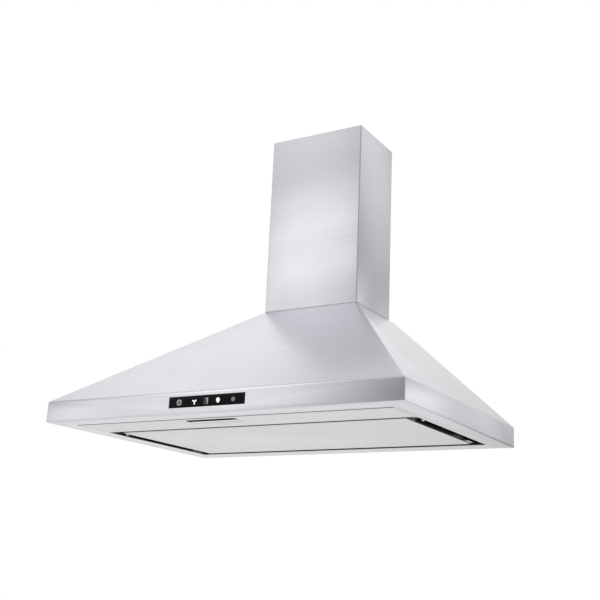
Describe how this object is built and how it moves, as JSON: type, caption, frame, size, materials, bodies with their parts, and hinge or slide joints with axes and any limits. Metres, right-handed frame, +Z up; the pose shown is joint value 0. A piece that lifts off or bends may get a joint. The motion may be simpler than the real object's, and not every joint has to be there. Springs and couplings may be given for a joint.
{
  "type": "chimney range hood",
  "caption": "Wall-hung chimney range hood: steel pyramid canopy, telescopic duct cover, hinged perimeter-suction panel, filters and twin-inlet blower.",
  "frame": {"origin": "on the wall plane, on the hood's centre line, at the height of the two wall hooks that carry it", "axes": "+X to the right as the user faces the hood, +Y into the wall, +Z up"},
  "size_m": [0.75, 0.5205, 0.6743],
  "materials": {
    "brushed_steel": "fine horizontal brushing, satin",
    "panel_steel": "satin, slightly warm",
    "galvanised_steel": "galvanised sheet",
    "zinc_plate": "bright zinc plate",
    "filter_aluminium": "plain aluminium",
    "grey_plastic": "moulded, matt",
    "black_plastic": "moulded, matt",
    "black_glass": "black printed glass, polished",
    "circuit_board": "solder resist",
    "black_enamel": "black stove enamel on sheet",
    "black_rubber": "matt",
    "frosted_lens": "frosted, translucent"
  },
  "bodies": {
    "hood_body": {"canopy_shell": "brushed_steel", "back_panel": "galvanised_steel", "inner_tray": "black_enamel", "front_strip": "panel_steel", "rear_strip": "panel_steel", "hinge_pin_left": "zinc_plate", "hinge_pin_right": "zinc_plate", "hinge_bracket_left": "zinc_plate", "hinge_bracket_right": "zinc_plate", "catch_magnet_left": "zinc_plate", "catch_magnet_right": "zinc_plate", "filter_front_rail": "black_enamel", "filter_rear_rail": "black_enamel", "filter_frame_left": "filter_aluminium", "filter_frame_right": "filter_aluminium", "filter_mesh_left": "filter_aluminium", "filter_mesh_right": "filter_aluminium", "latch_spring_left": "zinc_plate", "latch_spring_right": "zinc_plate", "lamp_lens": "frosted_lens", "lamp_board": "circuit_board", "lamp_housing": "black_plastic", "control_glass": "black_glass", "control_board": "circuit_board", "control_housing": "black_plastic", "blower_plate": "galvanised_steel", "scroll_half_left": "grey_plastic", "scroll_half_right": "grey_plastic", "inlet_ring_left": "galvanised_steel", "inlet_ring_right": "galvanised_steel", "motor": "galvanised_steel", "motor_bracket": "zinc_plate", "motor_grommet_1": "black_rubber", "motor_grommet_2": "black_rubber", "motor_grommet_3": "black_rubber", "outlet_collar": "black_plastic", "collar_screw_left": "zinc_plate", "collar_screw_right": "zinc_plate", "chimney_lower_cover": "brushed_steel", "mains_box": "grey_plastic", "mains_box_lid": "grey_plastic", "cable_gland": "black_plastic", "run_capacitor": "filter_aluminium", "capacitor_clip": "zinc_plate", "control_harness": "black_rubber", "motor_lead": "black_rubber"},
    "suction_panel": {"perimeter_panel": "panel_steel", "panel_backing": "galvanised_steel", "hinge_arm_left": "zinc_plate", "hinge_arm_right": "zinc_plate", "catch_plate_left": "zinc_plate", "catch_plate_right": "zinc_plate"},
    "fan_wheel": {"impeller": "black_plastic", "motor_shaft": "zinc_plate"},
    "front_flap": {"damper_flap_front": "grey_plastic"},
    "rear_flap": {"damper_flap_rear": "grey_plastic"},
    "upper_chimney": {"chimney_upper_cover": "brushed_steel", "chimney_wall_bracket": "zinc_plate"},
    "left_latch": {"filter_latch_left": "black_plastic"},
    "right_latch": {"filter_latch_right": "black_plastic"}
  },
  "joints": [
    {"name": "panel_hinge", "type": "hinge", "parent": "hood_body", "child": "suction_panel", "pos_m": [0, -0.082, -0.176], "axis": [1, 0, 0], "range_deg": [0, 90]},
    {"name": "fan_spin", "type": "hinge", "parent": "hood_body", "child": "fan_wheel", "pos_m": [0, -0.149, -0.025], "axis": [1, 0, 0], "continuous": true},
    {"name": "front_flap_hinge", "type": "hinge", "parent": "hood_body", "child": "front_flap", "pos_m": [0, -0.1045, 0.1223], "axis": [-1, 0, 0], "range_deg": [0, 75]},
    {"name": "rear_flap_hinge", "type": "hinge", "parent": "hood_body", "child": "rear_flap", "pos_m": [0, -0.0955, 0.1223], "axis": [1, 0, 0], "range_deg": [0, 75]},
    {"name": "chimney_slide", "type": "slide", "parent": "hood_body", "child": "upper_chimney", "axis": [0, 0, 1], "range_m": [0, 0.3]},
    {"name": "left_latch_slide", "type": "slide", "parent": "hood_body", "child": "left_latch", "axis": [0, 1, 0], "range_m": [0, 0.006], "stiffness_N_per_m": 300, "springref_m": -0.004, "deforming": ["latch_spring_left"]},
    {"name": "right_latch_slide", "type": "slide", "parent": "hood_body", "child": "right_latch", "axis": [0, 1, 0], "range_m": [0, 0.006], "stiffness_N_per_m": 300, "springref_m": -0.004, "deforming": ["latch_spring_right"]}
  ]
}
